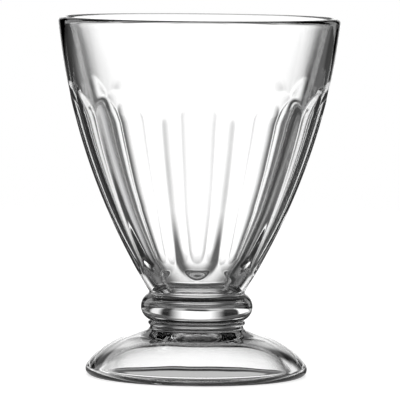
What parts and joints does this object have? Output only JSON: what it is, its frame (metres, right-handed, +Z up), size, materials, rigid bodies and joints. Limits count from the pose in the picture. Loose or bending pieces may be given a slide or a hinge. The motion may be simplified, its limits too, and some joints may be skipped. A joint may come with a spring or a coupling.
{
  "type": "dessert glass",
  "caption": "Footed dessert glass of clear pressed glass: tapered bowl with arched flutes, a round knop and a hollow domed foot, for ice cream and cold desserts.",
  "frame": {"origin": "on the table, under the middle of the foot", "axes": "+Z up along the axis of the glass, -Y towards the viewer of the picture through the middle of one flute"},
  "size_m": [0.0904, 0.0904, 0.115],
  "materials": {
    "bowl_glass": "clear, fire-polished",
    "knop_glass": "clear, fire-polished",
    "foot_glass": "clear, fire-polished"
  },
  "bodies": {
    "root": {"bowl": "bowl_glass", "knop": "knop_glass", "foot": "foot_glass"}
  },
  "joints": []
}
